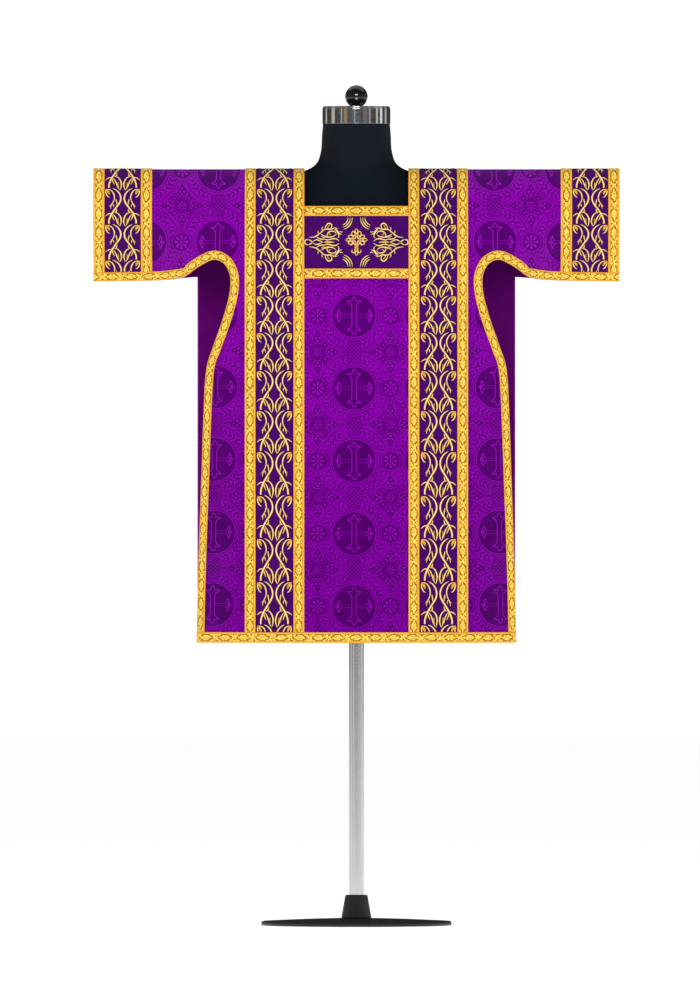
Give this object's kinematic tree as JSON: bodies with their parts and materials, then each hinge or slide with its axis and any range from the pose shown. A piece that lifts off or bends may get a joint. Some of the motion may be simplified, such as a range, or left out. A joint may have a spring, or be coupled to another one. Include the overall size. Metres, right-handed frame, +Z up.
{
  "type": "tunicle on a limbless dress form",
  "caption": "Sleeved vestment of violet damask with embroidered bands and gold braid, open at the sides, on a black limbless dress form with a round base.",
  "frame": {"origin": "centre of the round base's underside, on the floor", "axes": "+Z up, the garment's front faces -Y, its sleeves reach along X"},
  "size_m": [1.0522, 0.38, 1.6795],
  "materials": {
    "damask": "violet figured silk damask",
    "lining": "plum satin lining",
    "velvet": "deep violet band embroidered in gold thread",
    "gold_braid": "woven metallic gold braid",
    "jersey": "black stretch jersey over the form",
    "chrome": "polished",
    "gloss_black": "glossy black",
    "steel_black": "black satin enamel"
  },
  "bodies": {
    "root": {"front_centre": "damask", "back_centre": "damask", "front_side_left": "damask", "front_side_right": "damask", "back_side_left": "damask", "back_side_right": "damask", "back_lining": "lining", "chest_band": "velvet", "orphrey_front_left": "velvet", "orphrey_front_right": "velvet", "orphrey_back_left": "velvet", "orphrey_back_right": "velvet", "cuff_band_front_left": "velvet", "cuff_band_front_right": "velvet", "cuff_band_back_left": "velvet", "cuff_band_back_right": "velvet", "chest_braid_upper": "gold_braid", "chest_braid_lower": "gold_braid", "neck_braid_back": "gold_braid", "hem_braid_front": "gold_braid", "hem_braid_back": "gold_braid", "orphrey_braid_front_left_inner": "gold_braid", "orphrey_braid_front_left_outer": "gold_braid", "orphrey_braid_front_right_inner": "gold_braid", "orphrey_braid_front_right_outer": "gold_braid", "orphrey_braid_back_left_inner": "gold_braid", "orphrey_braid_back_left_outer": "gold_braid", "orphrey_braid_back_right_inner": "gold_braid", "orphrey_braid_back_right_outer": "gold_braid", "cuff_braid_front_left_inner": "gold_braid", "cuff_braid_front_left_outer": "gold_braid", "cuff_braid_front_right_inner": "gold_braid", "cuff_braid_front_right_outer": "gold_braid", "cuff_braid_back_left_inner": "gold_braid", "cuff_braid_back_left_outer": "gold_braid", "cuff_braid_back_right_inner": "gold_braid", "cuff_braid_back_right_outer": "gold_braid", "edge_braid_front_left": "gold_braid", "edge_braid_front_right": "gold_braid", "edge_braid_back_left": "gold_braid", "edge_braid_back_right": "gold_braid", "form_torso": "jersey", "neck_band": "chrome", "pole": "chrome", "neck_cap": "gloss_black", "knob": "gloss_black", "pole_socket": "steel_black", "base_hub": "steel_black", "base": "steel_black"}
  },
  "joints": []
}
